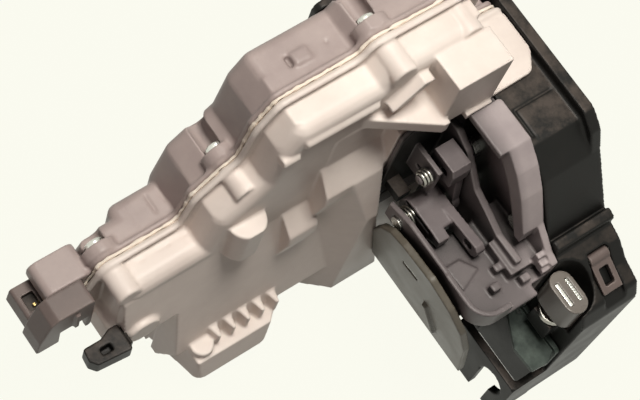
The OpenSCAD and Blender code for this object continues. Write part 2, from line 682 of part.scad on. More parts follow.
module key_cam() color("#54504c") place() translate([cam_c[0], cam_c[1], 0]) difference() {
  union() {
    along_z(cam_z - cam_h, cam_z) offset(r = cam_w / 2) square([0.02, cam_l - cam_w], center = true);
    along_z(cam_z - cam_h - 14, cam_z - 1) circle(r = cam_shaft_r);
  }
  for (s = [-1, 1]) along_z(cam_z - 3, cam_z + 1) translate([s * 1.9, 0])
    square([1.3, 9], center = true);
}

module key_cam_spring() color(zinc) place() for (i = [0 : 1])
  translate([cam_c[0], cam_c[1], cam_seat_z + 0.6 + 1.22 * i])
    rotate_extrude() translate([cam_shaft_r + 1.2, 0]) circle(r = 0.6, $fn = 24);

// lays children out from the clip's hinge along the frame's slope
module on_slope() translate([clip_x, clip_c[0], clip_c[1]]) rotate([clip_tilt, 0, 0]) children();
module cable_clip() color("#4a4643") place() on_slope() difference() {
  union() {
    box([0, -12.6, -1.2], [clip_w, 0, 1.2]);
    along_x(0, clip_w) circle(r = 2.2);
  }
  along_x(-1, clip_w + 1) circle(r = 1 + run_fit);
  box([2, -10.2, -3], [clip_w - 2, -3.8, 3]);
}
module clip_pin() color(zinc) place() along_x(clip_x - 1.8, clip_x + clip_w + 1.8) spot(clip_c, 1);

module motor() color("#a9acae") place() difference() {
  union() {
    along_x(motor_x, motor_x + motor_l) intersection() {
      spot(motor_c, motor_w / 2);
      translate([motor_c[0] - motor_w, motor_c[1] - motor_h / 2]) square([2 * motor_w, motor_h]);
    }
    along_x(motor_x - 1.5, motor_x + 1) spot(motor_c, 4);
    along_x(motor_x + motor_l - 1, motor_x + motor_l + 1.5) spot(motor_c, 4);
  }
  along_x(motor_x + 2, motor_x + motor_l + 3) spot(motor_c, 1 + run_fit);
}

module worm() color("#e8e2d4") place() {
  along_x(motor_x + 4, worm_x + worm_l + 3) spot(motor_c, 1);
  along_x(worm_x, worm_x + worm_l) spot(motor_c, worm_r - 1.4);
  for (i = [0 : 5]) translate([worm_x + 1.6 + i * 2.75, motor_c[0], motor_c[1]])
    rotate([0, 90, 0]) rotate_extrude() polygon([[worm_r - 1.6, -0.9], [worm_r, -0.35],
      [worm_r, 0.35], [worm_r - 1.6, 0.9]]);
}

// gear outline around the origin, seen along Y
module gear_flat(root, tip, n, w0, w1) {
  circle(r = root);
  for (i = [0 : n - 1]) rotate(i * 360 / n)
    polygon([[-w0, root - 0.5], [w0, root - 0.5], [w1, tip], [-w1, tip]]);
}
pinion_teeth = 2 * pinion_r;
module worm_wheel() color("#efe9dc") place() difference() {
  union() {
    along_y(motor_c[0] - wheel_t / 2, motor_c[0] + wheel_t / 2) translate(wheel_c)
      gear_flat(wheel_r - 2, wheel_r, wheel_teeth, 1.2, 0.5);
    along_y(motor_c[0], slider_y + 4.4) translate(wheel_c) rotate(90)
      gear_flat(pinion_r - 1.2, pinion_r + tooth, pinion_teeth, 0.8, 0.35);
    along_y(-case_front + wall + 1, motor_c[0]) spot(wheel_c, 4);
  }
  along_y(-20, 20) spot(wheel_c, 2 + run_fit);
  along_y(motor_c[0] - wheel_t, motor_c[0] - wheel_t / 2 + 2) difference() {
    spot(wheel_c, wheel_r - 3.5);
    spot(wheel_c, 5.5);
  }
}
module wheel_axle() color(zinc) place() along_y(-case_front + 1.2, case_back - 1) spot(wheel_c, 2);

rack_x = wheel_c[0] - pinion_r;
rack_pitch = PI;
module lock_slider() color("#8a8f93") place() {
  along_y(slider_y, slider_y + 4.4) {
    translate([rack_x - 7, arm_z]) square([7 - 1.2, wheel_c[1] + 10 - arm_z]);
    for (i = [-2 : 3]) translate([rack_x, wheel_c[1] + (i - 0.5) * rack_pitch])
      polygon([[-1.6, -0.8], [-1.6, 0.8], [tooth, 0.35], [tooth, -0.35]]);
  }
  box([rack_x - 7, slider_y, arm_z], [31, slider_y + 4.4, arm_z + 4]);
  box([26, -29.3, arm_z], [31, slider_y + 4.4, arm_z + 4]);
}

// carrier of the conductors, against the cover's inner face, with the two switches on it
carrier_y = -case_front + wall + 0.1;
module terminal_carrier() color("#b5a98f") place() union() {
  along_y(carrier_y, carrier_y + 2.4) polygon([[-62, -82], [0, -82], [0, -48], [-22, -48],
    [-22, -66], [-62, -66]]);
  for (i = [0 : 3]) box([-61, carrier_y + 2, -81 + i * 4], [-18, carrier_y + 3, -79 + i * 4]);
}
module microswitches() color("#33302e") place() for (z = [-57, -80])
  box([-14, carrier_y + 2.5, z], [-2, carrier_y + 8.5, z + 7.5]);

conn_foot = conn_top - conn_h;
conn_mid = -0.7;        // front of the connector's low part, under the housing's end block
conn_step = -73;        // top of the low part
pin_z = -67;            // inner floor of the socket
module connector_housing() color("#5d514c") place() difference() {
  union() {
    // high front part with its slanted end, and the low part behind it
    along_y(conn_y0, conn_mid - gap) round_off(1.2) polygon([[conn_x, conn_foot], [conn_x + 1, -73],
      [conn_x + 4.5, conn_top - 2], [conn_x + 7, conn_top], [end_x - gap, conn_top],
      [end_x - gap, conn_foot]]);
    along_y(conn_mid - 3, conn_y1) round_off(1.2) polygon([[conn_x + 1.5, conn_foot],
      [conn_x + 2.5, conn_step], [end_x - gap, conn_step], [end_x - gap, conn_foot]]);
    box([conn_x + 13, conn_y0 - 1, conn_foot], [conn_x + 14.6, conn_y0 + 1, conn_top - 3]);
  }
  // socket, open at the foot, and the latch window beside the end block
  box([conn_x + 3.4, conn_y0 + 1.8, conn_foot - 1], [end_x - gap - 1.8, conn_mid - 2.4, pin_z]);
  box([conn_x + 4.4, conn_mid - 4, conn_foot - 1], [end_x - gap - 1.8, conn_y1 - 1.8, conn_step - 1.8]);
  box([conn_x + 4.4, 1.4, conn_step - 3], [conn_x + 8.6, 7.2, conn_step + 1]);
}

module connector_pins() color(brass) place() for (r = [0, 1], i = [0 : pin_rows - 1]) {
  y = [conn_y0 + 3.4, conn_mid + 3.4][r];
  top = [pin_z, conn_step - 1.8][r] + 1;
  box([conn_x + 6.6 + i * 2, y, top - [7, 2.8][r]], [conn_x + 7.4 + i * 2, y + 1, top]);
}

module wire_clip() color("#1d1b1a") place() difference() {
  along_z(-90, -83) round_off(0.8) polygon([[-84.5, -15], [-85, -19.5], [-83, -22], [-70.6, -23],
    [-70.6, -13.3], [-74, -13.3], [-78, -15]]);
  box([-80, -20, -95], [-76, -17.5, -70]);
}

actuator_housing();
actuator_cover();
case_seal();
case_screws();
lever_housing();
lever_cover();
latch_frame();
face_plate();
back_plate();
claw();
claw_jacket();
claw_pin();
claw_spring();
striker_buffer();
pawl();
pawl_pin();
pawl_spring();
outside_release_lever();
inside_release_lever();
lever_pin();
lever_spring();
override_spring();
spring_post();
key_cam();
key_cam_spring();
cable_clip();
clip_pin();
motor();
worm();
worm_wheel();
wheel_axle();
lock_slider();
microswitches();
terminal_carrier();
connector_housing();
connector_pins();
wire_clip();
frame_screws();
bracket_screws();
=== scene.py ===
import math

import bmesh
import bpy
from mathutils import Matrix, Vector


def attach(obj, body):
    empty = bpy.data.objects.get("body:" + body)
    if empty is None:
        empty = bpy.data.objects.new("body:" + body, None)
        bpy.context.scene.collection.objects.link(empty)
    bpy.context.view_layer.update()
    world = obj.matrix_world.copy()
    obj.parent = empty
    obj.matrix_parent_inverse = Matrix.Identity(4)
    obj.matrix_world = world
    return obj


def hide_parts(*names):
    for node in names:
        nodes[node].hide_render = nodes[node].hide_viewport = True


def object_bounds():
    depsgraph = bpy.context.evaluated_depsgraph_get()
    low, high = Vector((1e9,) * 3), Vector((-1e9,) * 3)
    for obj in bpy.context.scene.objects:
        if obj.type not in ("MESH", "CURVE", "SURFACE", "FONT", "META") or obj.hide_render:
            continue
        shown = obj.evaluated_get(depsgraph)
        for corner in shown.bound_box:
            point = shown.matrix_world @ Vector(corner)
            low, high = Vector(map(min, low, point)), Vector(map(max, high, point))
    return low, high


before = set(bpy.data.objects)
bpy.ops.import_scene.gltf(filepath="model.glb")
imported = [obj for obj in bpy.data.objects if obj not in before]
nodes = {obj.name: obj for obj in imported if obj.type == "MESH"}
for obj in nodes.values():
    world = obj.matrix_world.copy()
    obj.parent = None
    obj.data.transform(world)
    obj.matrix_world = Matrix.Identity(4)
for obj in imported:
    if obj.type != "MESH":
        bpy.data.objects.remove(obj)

# A long lens looks down on the cover from its left end, as the photograph does. Its place
# and turn come from the casing's straight edges in the 640 x 400 photograph.
MM = 0.001
cad_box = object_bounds()

camera = bpy.data.objects.new("camera", bpy.data.cameras.new("camera"))
camera_right = Vector((0.801, -0.568, 0.187))
camera_up = Vector((0.468, 0.791, 0.395))
camera_back = Vector((-0.372, -0.228, 0.900))
camera_turn = Matrix((camera_right, camera_up, camera_back)).transposed()
camera.location = Vector((-310.8, -112.3, 577.3)) * MM
camera.rotation_euler = camera_turn.to_quaternion().to_euler()
camera.data.lens = 109.7
camera.data.sensor_width = 36
bpy.context.scene.collection.objects.link(camera)
bpy.context.scene.camera = camera
bpy.context.scene.view_settings.view_transform = "Standard"


# The lock lies on a seamless sheet of warm white paper. Rays from the camera, and those that
# a glossy or clear surface sends on, see the paper as white; the rest see its true colour.
def linear(hex_colour):
    """The linear colour of an sRGB hex value."""
    parts = [int(hex_colour[i:i + 2], 16) / 255 for i in (1, 3, 5)]
    return tuple(c / 12.92 if c <= 0.04045 else ((c + 0.055) / 1.055) ** 2.4 for c in parts) + (1,)


def add_node(tree, kind, settings=None, **inputs):
    """Adds a shader node. Each input is a value or the output of another node, under the
    socket's name or, after an underscore, its number."""
    node = tree.nodes.new("ShaderNode" + kind)
    for name, value in (settings or {}).items():
        setattr(node, name, value)
    for name, value in inputs.items():
        socket = node.inputs[int(name[1:]) if name[1:].isdigit() else name.replace("_", " ")]
        if isinstance(value, bpy.types.NodeSocket):
            tree.links.new(value, socket)
        else:
            socket.default_value = value
    return node


def new_material(name):
    """An empty node material."""
    material = bpy.data.materials.new(name)
    material.use_nodes = True
    material.node_tree.nodes.clear()
    return material, material.node_tree


def light_paths(tree):
    """What is 1 for camera rays, and what is 1 for rays that a glossy or clear surface sends on."""
    ray = add_node(tree, "LightPath").outputs
    mirrored = add_node(tree, "Math", {"operation": "MAXIMUM"}, _0=ray["Is Glossy Ray"],
                        _1=ray["Is Transmission Ray"])
    return ray["Is Camera Ray"], mirrored.outputs[0]


PAPER_WHITE = linear("#fffff4")
PAPER_SHARE = 0.95      # of the white that the camera sees; the rest holds the soft shadow
FIBRE_MM = 1.5          # coarser than real fibre, which would be lost at this size

paper, tree = new_material("seamless_paper")
by_camera, by_mirror = light_paths(tree)
place = add_node(tree, "TexCoord").outputs["Object"]
fibre = add_node(tree, "TexNoise", Vector=place, Scale=1 / (FIBRE_MM * MM))
tooth = add_node(tree, "Bump", Strength=0.1, Distance=0.1 * MM, Height=fibre.outputs["Fac"])
matt = add_node(tree, "BsdfDiffuse", Color=linear("#7f7a75"), Normal=tooth.outputs[0])
white = add_node(tree, "Emission", Color=PAPER_WHITE, Strength=1.0)
glow = add_node(tree, "MixShader", Fac=by_mirror, _1=matt.outputs[0], _2=white.outputs[0])
share = add_node(tree, "Math", {"operation": "MULTIPLY"}, _0=by_camera, _1=PAPER_SHARE)
paper_look = add_node(tree, "MixShader", Fac=share.outputs[0], _1=glow.outputs[0],
                      _2=white.outputs[0])
add_node(tree, "OutputMaterial", Surface=paper_look.outputs[0])

bm = bmesh.new()
bmesh.ops.create_grid(bm, x_segments=1, y_segments=1, size=3)
bmesh.ops.translate(bm, verts=bm.verts, vec=(0, 0, cad_box[0][2] - 0.2 * MM))
floor = bpy.data.objects.new("paper_sheet", bpy.data.meshes.new("paper_sheet"))
bm.to_mesh(floor.data)
bm.free()
floor.data.materials.append(paper)
bpy.context.scene.collection.objects.link(floor)


# One softbox hangs above the cover and lights what faces up. A weak one at the front left
# opens the shade of the front faces, most at the left end. The room lights dimly, but the
# camera, mirrors and clear surfaces see it white.
def add_softbox(name, place, size, power, colour):
    """A square area lamp that points at the middle of the lock."""
    middle = (Vector(cad_box[0]) + Vector(cad_box[1])) / 2
    lamp = bpy.data.objects.new(name, bpy.data.lights.new(name, "AREA"))
    lamp.data.size = size
    lamp.data.energy = power
    lamp.data.color = linear(colour)[:3]
    lamp.location = middle + Vector(place)
    lamp.rotation_euler = (-Vector(place)).to_track_quat("-Z", "Y").to_euler()
    bpy.context.scene.collection.objects.link(lamp)


add_softbox("key_softbox", (0.04, 0.0, 0.75), 0.24, 6.0, "#fffaf2")
add_softbox("fill_softbox", (-0.60, -0.16, 0.34), 0.3, 0.24, "#ffe2de")

studio = bpy.data.worlds.new("studio")
studio.use_nodes = True
tree = studio.node_tree
tree.nodes.clear()
by_camera, by_mirror = light_paths(tree)
seen = add_node(tree, "Math", {"operation": "MAXIMUM"}, _0=by_camera, _1=by_mirror)
dim = add_node(tree, "Background", Color=linear("#f4e8ec"), Strength=0.06)
bright = add_node(tree, "Background", Color=PAPER_WHITE, Strength=1.0)
sky = add_node(tree, "MixShader", Fac=seen.outputs[0], _1=dim.outputs[0], _2=bright.outputs[0])
add_node(tree, "OutputWorld", Surface=sky.outputs[0])
bpy.context.scene.world = studio

# Back shell of the actuator: glass-filled polypropylene, mauve grey, injection moulded in
# three depths over the motor, the gear and the switches. Its corners are round and full.
CASING = Vector((-80, 48, 76)) * MM     # where the casing's own zero lies in the frame


def at(x, y, z):
    """A point given in the casing's own millimetres: X along it, Y to its back, Z up."""
    return CASING + Vector((x, y, z)) * MM


def add_block(bm, low, high):
    """A box between two corners of the casing's space."""
    middle, size = (Vector(low) + Vector(high)) / 2, Vector(high) - Vector(low)
    matrix = Matrix.Translation(at(*middle)) @ Matrix.Diagonal((*(size * MM), 1))
    bmesh.ops.create_cube(bm, size=1, matrix=matrix)


def add_prism(bm, corners, low, high, axis="x"):
    """A flat shape drawn out along one axis; its corners are (y, z), (x, z) or (x, y)."""
    def placed(a, b, along):
        return at(*{"x": (along, a, b), "y": (a, along, b), "z": (a, b, along)}[axis])
    ends = [[bm.verts.new(placed(a, b, along)) for a, b in corners] for along in (low, high)]
    faces = [bm.faces.new(ends[0]), bm.faces.new(list(reversed(ends[1])))]
    for i, vert in enumerate(ends[0]):
        faces.append(bm.faces.new((ends[0][i - 1], vert, ends[1][i], ends[1][i - 1])))
    bmesh.ops.recalc_face_normals(bm, faces=faces)


def add_rod(bm, start, end, radius, segments=32):
    """A straight rod between two points of the casing's space."""
    a, b = at(*start), at(*end)
    turn = (b - a).to_track_quat("Z", "Y").to_matrix().to_4x4()
    bmesh.ops.create_cone(bm, cap_ends=True, segments=segments, radius1=radius * MM,
                          radius2=radius * MM, depth=(b - a).length,
                          matrix=Matrix.Translation((a + b) / 2) @ turn)


def add_piece(name, bm, material, body, smooth=False):
    """An object from a bmesh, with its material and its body."""
    mesh = bpy.data.meshes.new(name)
    bm.to_mesh(mesh)
    bm.free()
    piece = bpy.data.objects.new(name, mesh)
    bpy.context.scene.collection.objects.link(piece)
    mesh.materials.append(material)
    for face in mesh.polygons:
        face.use_smooth = smooth
    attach(piece, body)
    return piece


def copy_of(name):
    """A bmesh of a CAD node, its loose triangles joined."""
    bm = bmesh.new()
    bm.from_mesh(nodes[name].data)
    bmesh.ops.remove_doubles(bm, verts=bm.verts, dist=0.0005 * MM)
    return bm


def melt(piece, voxel_mm, rounds, keep=1.0, cut=None):
    """Joins a piece's overlapping solids into one skin, as soft at its edges and in its corners
    as a moulding. What cut holds is taken out first, and nothing leaves the CAD's box."""
    if cut:
        tool = bpy.data.objects.new("cutter", bpy.data.meshes.new("cutter"))
        bmesh.ops.recalc_face_normals(cut, faces=cut.faces)
        cut.to_mesh(tool.data)
        cut.free()
        bpy.context.scene.collection.objects.link(tool)
        carve = piece.modifiers.new("carve", "BOOLEAN")
        carve.operation, carve.object, carve.use_self = "DIFFERENCE", tool, True
    skin = piece.modifiers.new("skin", "REMESH")
    skin.mode = "VOXEL"
    skin.voxel_size = voxel_mm * MM
    relax = piece.modifiers.new("relax", "SMOOTH")
    relax.iterations = rounds
    if keep < 1:
        piece.modifiers.new("thin", "DECIMATE").ratio = keep
    shape = piece.evaluated_get(bpy.context.evaluated_depsgraph_get())
    melted = bpy.data.meshes.new_from_object(shape)
    piece.modifiers.clear()
    piece.data = melted
    for face in melted.polygons:
        face.use_smooth = True
    for vert in melted.vertices:
        vert.co = [min(max(v, low), high) for v, low, high in zip(vert.co, *cad_box)]
    if cut:
        bpy.data.objects.remove(tool)


DUST_AND_SHEEN_MM = 9            # size of the patches of dust and painted sheen
GRAIN_DEPTH_MM = 0.08


def moulded_plastic(name, body, flow, edge, painted_shade_colour, roughness, grain_mm, grain, flow_mm=16,
                    edge_mm=0.7, wear_and_highlight=0.5, dust_and_sheen=None, cavity_mm=2.5, cavity=0.8, sheen=0.4,
                    painted_shade_band=None):
    """Satin moulded plastic: cloudy flow marks, the grain of the mould, edges paler from wear and
    painted highlight, and corners darker from painted shade. Where asked for, dust and a painted
    sheen lie on what faces up, and painted shade darkens it beyond the first of two X of the
    casing, fading out by the second. The grain is drawn coarser than a real mould's, which would
    be lost."""
    material, tree = new_material(name)
    place = add_node(tree, "TexCoord").outputs["Object"]
    cloud = add_node(tree, "TexNoise", Vector=place, Scale=1 / (flow_mm * MM), Detail=4,
                     Roughness=0.6)
    facing = add_node(tree, "NewGeometry").outputs["Normal"]

    def tint(colour, share, over):
        """The colour, with a share of another one over it."""
        mix = add_node(tree, "Mix", {"data_type": "RGBA"}, Factor=share, _6=colour, _7=linear(over))
        return mix.outputs[2]

    tone = add_node(tree, "MapRange", Value=cloud.outputs["Fac"], From_Min=0.35, From_Max=0.65)
    colour = tint(linear(flow), tone.outputs[0], body)
    # on what faces up: dust, and a painted sheen of the lit top
    if dust_and_sheen:
        height = add_node(tree, "SeparateXYZ", Vector=facing).outputs["Z"]
        upward = add_node(tree, "MapRange", From_Min=0.9, From_Max=0.99, Value=height)
        dust_and_sheen_noise = add_node(tree, "TexNoise", Vector=place, Scale=1 / (DUST_AND_SHEEN_MM * MM), Detail=6,
                         Roughness=0.65)
        patch = add_node(tree, "MapRange", Value=dust_and_sheen_noise.outputs["Fac"], From_Min=0.38, From_Max=0.6)
        dust_and_sheen_mask = add_node(tree, "Math", {"operation": "MULTIPLY"}, _0=upward.outputs[0],
                        _1=patch.outputs[0])
        colour = tint(colour, dust_and_sheen_mask.outputs[0], dust_and_sheen)
    # painted shade: darker beyond the first of two X of the casing, fading out by the second
    if painted_shade_band:
        across = add_node(tree, "SeparateXYZ", Vector=place).outputs["X"]
        band_shade_mask = add_node(tree, "MapRange", Value=across, From_Min=at(painted_shade_band[1], 0, 0).x,
                         From_Max=at(painted_shade_band[0], 0, 0).x, To_Max=0.62)
        colour = tint(colour, band_shade_mask.outputs[0], painted_shade_colour)
    # painted shade: corners and hollows darkened by ambient occlusion
    corner = add_node(tree, "AmbientOcclusion", {"samples": 8, "only_local": cavity_mm < 5},
                      Distance=cavity_mm * MM)
    corner_shade_mask = add_node(tree, "MapRange", Value=corner.outputs["AO"], From_Min=0.75, From_Max=0.2,
                     To_Max=cavity)
    colour = tint(colour, corner_shade_mask.outputs[0], painted_shade_colour)
    # paler edges: partly wear, partly a painted highlight
    rounded = add_node(tree, "Bevel", {"samples": 6}, Radius=edge_mm * MM)
    bend = add_node(tree, "VectorMath", {"operation": "DOT_PRODUCT"}, _0=rounded.outputs[0],
                    _1=facing)
    worn_and_lit = add_node(tree, "MapRange", Value=bend.outputs["Value"], From_Min=0.99, From_Max=0.8,
                    To_Max=wear_and_highlight)
    ridge = add_node(tree, "Math", {"operation": "MULTIPLY"}, _0=worn_and_lit.outputs[0],
                     _1=corner.outputs["AO"])
    colour = tint(colour, ridge.outputs[0], edge)
    texture = add_node(tree, "TexNoise", Vector=place, Scale=1 / (grain_mm * MM), Detail=3)
    relief = add_node(tree, "Bump", Height=texture.outputs["Fac"], Strength=grain,
                      Distance=GRAIN_DEPTH_MM * MM, Normal=rounded.outputs[0])
    gloss = add_node(tree, "MapRange", Value=cloud.outputs["Fac"], From_Min=0.3, From_Max=0.7,
                     To_Min=roughness - 0.05, To_Max=roughness + 0.07)
    shader = add_node(tree, "BsdfPrincipled", Base_Color=colour, Roughness=gloss.outputs[0],
                      IOR=1.49, Specular_IOR_Level=sheen, Normal=relief.outputs[0])
    add_node(tree, "OutputMaterial", Surface=shader.outputs[0])
    return material


def dress(material, *names):
    """Gives CAD nodes their material."""
    for name in names:
        nodes[name].data.materials.clear()
        nodes[name].data.materials.append(material)


# polypropylene with glass fibre: satin grey with a pink cast, cloudy where the melt met
mauve_polypropylene = moulded_plastic("glass_filled_polypropylene_mauve", "#aa9c98", "#9c8e8b",
                                      "#d6cac6", "#4e4542", 0.42, 0.45, 0.25)
# X and Z of the case screws, the radii of hole, pocket and collar, and Y of the pockets' floors
CASE_SCREWS = [(-67.7, -64), (-26.5, -37), (21.5, 1), (48, 0), (-60, -88), (-44, -135), (36, -135)]
SCREW_HOLE_R, POCKET_R, COLLAR_R = 1.65, 3.8, 6.3
POCKET_FLOOR = 6.2
bm = copy_of("actuator_housing")
# latch tab on the crown, and the ribbed collars under the screw heads
add_block(bm, (-3.2, 6.6, -6), (2.4, 11, -2.2))
for x, z in CASE_SCREWS:
    for y in (2.7, 4.2, 5.7):
        add_rod(bm, (x, y - 0.45, z), (x, y + 0.45, z), COLLAR_R)
cut = bmesh.new()
# hollows beside the tab, and grooves in the top of the left block
add_block(cut, (-5.4, 7, -4.6), (-3.6, 11, 0))
add_block(cut, (2.8, 7.4, -3.9), (3.6, 9.6, 0))
add_block(cut, (8.5, 6.6, -4.2), (9.4, 9.6, 0))
for x, y in ((-53.6, 4.4), (-46.4, 5.4), (-41.9, 7)):
    add_block(cut, (x, y, -62.4), (x + 0.9, 13, -56))
for x, z in CASE_SCREWS:
    add_rod(cut, (x, -2, z), (x, 25, z), SCREW_HOLE_R)
    add_rod(cut, (x, POCKET_FLOOR, z), (x, 25, z), POCKET_R)
# shallow panels in the flat back
for low, high in (((-35, -100), (-12, -72)), ((-8, -128), (34, -100)), ((-35, -128), (-12, -104))):
    add_block(cut, (low[0], 18.4, low[1]), (high[0], 21, high[1]))
housing = add_piece("housing_shell", bm, mauve_polypropylene, "frame")
melt(housing, 0.5, 3, 0.38, cut)
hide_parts("actuator_housing")

# The drive inside the casing: a can motor, a nylon worm and wheel, the slider that the pinion
# pulls, and two switches on the carrier of the conductors. All are pressed or clipped in.
# unfilled nylon: milky, a little yellow, waxy
natural_nylon = moulded_plastic("natural_nylon", "#c9c5ba", "#bab6ab", "#efece2", "#7c776c",
                                0.35, 0.5, 0.1)
# nylon with glass fibre and soot: near black, with grey-brown dust and a painted sheen on what
# faces up
black_nylon = moulded_plastic("glass_filled_nylon_black", "#141312", "#0d0d0c", "#4c4642",
                              "#060606", 0.45, 0.5, 0.3, dust_and_sheen="#453e39", sheen=0.2)
# brown-grey nylon: its crisp edges pale from wear and painted highlight, its corners darkened as
# painted shade
dark_nylon = moulded_plastic("glass_filled_nylon_brown", "#6f635f", "#615653", "#cbbfb8",
                             "#1c1816", 0.42, 0.45, 0.2, cavity_mm=7, cavity=0.92, wear_and_highlight=0.85,
                             sheen=0.3)

SCRATCH_MM = 1.2        # length of a scratch; wider than real ones, which would be lost


def plated_metal(name, light, dark, roughness, cloud_mm=4, edge_mm=0.3):
    """Plated or passivated metal: a cloudy tone, and fine scratches that lie across Z."""
    material, tree = new_material(name)
    place = add_node(tree, "TexCoord").outputs["Object"]
    cloud = add_node(tree, "TexNoise", Vector=place, Scale=1 / (cloud_mm * MM), Detail=5)
    tone = add_node(tree, "MapRange", Value=cloud.outputs["Fac"], From_Min=0.25, From_Max=0.75)
    base = add_node(tree, "Mix", {"data_type": "RGBA"}, Factor=tone.outputs[0], _6=linear(dark),
                    _7=linear(light))
    rounded = add_node(tree, "Bevel", {"samples": 6}, Radius=edge_mm * MM)
    stretched = add_node(tree, "Mapping", Vector=place, Scale=(1, 1, 12))
    scratch = add_node(tree, "TexNoise", Vector=stretched.outputs[0], Scale=1 / (SCRATCH_MM * MM),
                       Detail=3)
    relief = add_node(tree, "Bump", Height=scratch.outputs["Fac"], Strength=0.15,
                      Distance=0.05 * MM, Normal=rounded.outputs[0])
    gloss = add_node(tree, "MapRange", Value=scratch.outputs["Fac"], From_Min=0.3, From_Max=0.7,
                     To_Min=roughness - 0.06, To_Max=roughness + 0.1)
    shader = add_node(tree, "BsdfPrincipled", Base_Color=base.outputs[2], Metallic=1.0,
                      Roughness=gloss.outputs[0], Normal=relief.outputs[0])
    add_node(tree, "OutputMaterial", Surface=shader.outputs[0])
    return material


# electroplated zinc: bright pale grey, soft in its shine
zinc_plate = plated_metal("zinc_plate", "#e4e4e0", "#b0b0aa", 0.24)
dress(natural_nylon, "worm", "worm_wheel")
dress(black_nylon, "microswitches", "lock_slider")
dress(dark_nylon, "terminal_carrier")
dress(zinc_plate, "motor", "wheel_axle")

# Seal between the two shells: a foamed bead that is pressed out along the joint, so that a
# thin, torn lip of it shows all round.
# foamed rubber: matt, cream, rough with open pores
seal_foam = moulded_plastic("foam_seal", "#f4ebde", "#e8dccb", "#fffaf2", "#b8a890",
                            0.75, 0.5, 0.8)
seal = add_piece("seal_lip", copy_of("case_seal"), seal_foam, "frame")
wave = bpy.data.textures.new("torn", "CLOUDS")
wave.noise_scale = 2.2 * MM
split = seal.modifiers.new("split", "REMESH")
split.mode, split.voxel_size = "VOXEL", 0.35 * MM
tear = seal.modifiers.new("tear", "DISPLACE")
tear.texture, tear.strength, tear.mid_level = wave, 0.9 * MM, 0.55
melt(seal, 0.35, 1, 0.5)
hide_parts("case_seal")

# Front shell of the actuator: unpainted cream polyester, injection moulded, satin. It carries
# the bosses of the seven screws, the pads, the comb ledge and the shelf over the frame.
# polyester: warm off-white, even and satin, a little grey-brown in its corners as painted shade,
# paler at its edges from wear and painted highlight
cream_polyester = moulded_plastic("polyester_cream", "#e8ded6", "#dbcfc7", "#fbf6f0", "#776860",
                                  0.45, 0.6, 0.12, flow_mm=22, edge_mm=1.0)
# X and Z of the joint's corners, and the round bead that follows them
JOINT = [(-78, -95), (-78, -77), (-71, -59.5), (-43, -58), (-39.7, -43), (-25, -29), (-22.5, -12),
         (-16, -1), (13, 0), (17, 6), (58, 6), (58, -24), (75.5, -24), (75.5, -143), (-52, -143),
         (-52, -95)]
BEAD_R, BEAD_INSET, BEAD_Y = 1.05, 1.1, -2.3
bm = copy_of("actuator_cover")
outline = bmesh.new()
outline.faces.new([outline.verts.new(at(x, BEAD_Y, z)) for x, z in JOINT])
bmesh.ops.bevel(outline, geom=list(outline.verts), offset=2.5 * MM, offset_type="OFFSET",
                segments=3, profile=0.5, affect="VERTICES", material=-1)
rim = bmesh.ops.inset_region(outline, faces=list(outline.faces), thickness=BEAD_INSET * MM,
                             depth=0, use_even_offset=True)["faces"]
path = [[(v.co - CASING) / MM for v in f.verts] for f in outline.faces if f not in rim][0]
outline.free()
for number, point in enumerate(path):
    add_rod(bm, path[number - 1], point, BEAD_R, segments=12)
    bmesh.ops.create_icosphere(bm, subdivisions=2, radius=BEAD_R * MM,
                               matrix=Matrix.Translation(at(*point)))
cover = add_piece("cover_shell", bm, cream_polyester, "frame")
cut = bmesh.new()
# the front steps back between the shelf and the pad beside the levers
add_prism(cut, [(-14.2, -23.9), (-31, -23.9), (-31, -78), (-27.6, -78), (-21.2, -52.5),
                (-14.2, -42)], 1, 24)
add_prism(cut, [(23.4, -15.5), (23.4, -31), (43, -31), (43, -22.5)], -31, -23.9, "z")
# groove along the left ledge
add_block(cut, (-60.5, -5.6, -62.9), (-37.5, -4.7, -58))
melt(cover, 0.5, 3, 0.32, cut)
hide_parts("actuator_cover")


# Thread-forming screws of zinc-plated steel hold the two shells: a domed head with a round
# socket over each ribbed collar, its point in the cover's boss.
SHAFT_R, HEAD_R, HEAD_H = 1.5, 3.5, 2.2


def outermost(bm, axis):
    """The many-sided face that lies furthest along an axis."""
    caps = [f for f in bm.faces if len(f.verts) > 8]
    return max(caps, key=lambda f: f.calc_center_median().dot(axis))


def add_screw(bm, tip, seat, head):
    """A screw with a domed, socketed head; tip, seat and head lie on its axis."""
    add_rod(bm, tip, seat, SHAFT_R, segments=20)
    add_rod(bm, seat, head, HEAD_R, segments=28)
    axis = (at(*head) - at(*seat)).normalized()
    bmesh.ops.bevel(bm, geom=list(outermost(bm, axis).edges), offset=HEAD_H * 0.4 * MM,
                    offset_type="OFFSET", segments=4, profile=0.5, affect="EDGES", material=-1,
                    clamp_overlap=True)
    crown = outermost(bm, axis)
    bmesh.ops.inset_region(bm, faces=[crown], thickness=HEAD_R * 0.34 * MM, depth=0)
    bmesh.ops.inset_region(bm, faces=[crown], thickness=0.05 * MM, depth=-HEAD_H * 0.5 * MM)


for number, (x, z) in enumerate(CASE_SCREWS):
    bm = bmesh.new()
    add_screw(bm, (x, -8, z), (x, 6.25, z), (x, 8.45, z))
    screw = add_piece(f"case_screw_{number + 1}", bm, zinc_plate, "frame")
    if number == 0:
        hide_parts("case_screws")

# Connector at the left end: dark nylon, moulded with its latch window and open at its foot,
# with two rows of tinned brass pins, and the black holder of the cable beside it.
# tinned brass: dull yellow under a thin grey coat
tinned_brass = plated_metal("tinned_brass", "#cdb67e", "#a8905c", 0.3)
connector = add_piece("connector_shell", copy_of("connector_housing"), dark_nylon, "frame")
cut = bmesh.new()
add_block(cut, (-90, -12, -82), (-80.2, -5.5, -72.5))
melt(connector, 0.3, 2, 0.6, cut)
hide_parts("connector_housing")
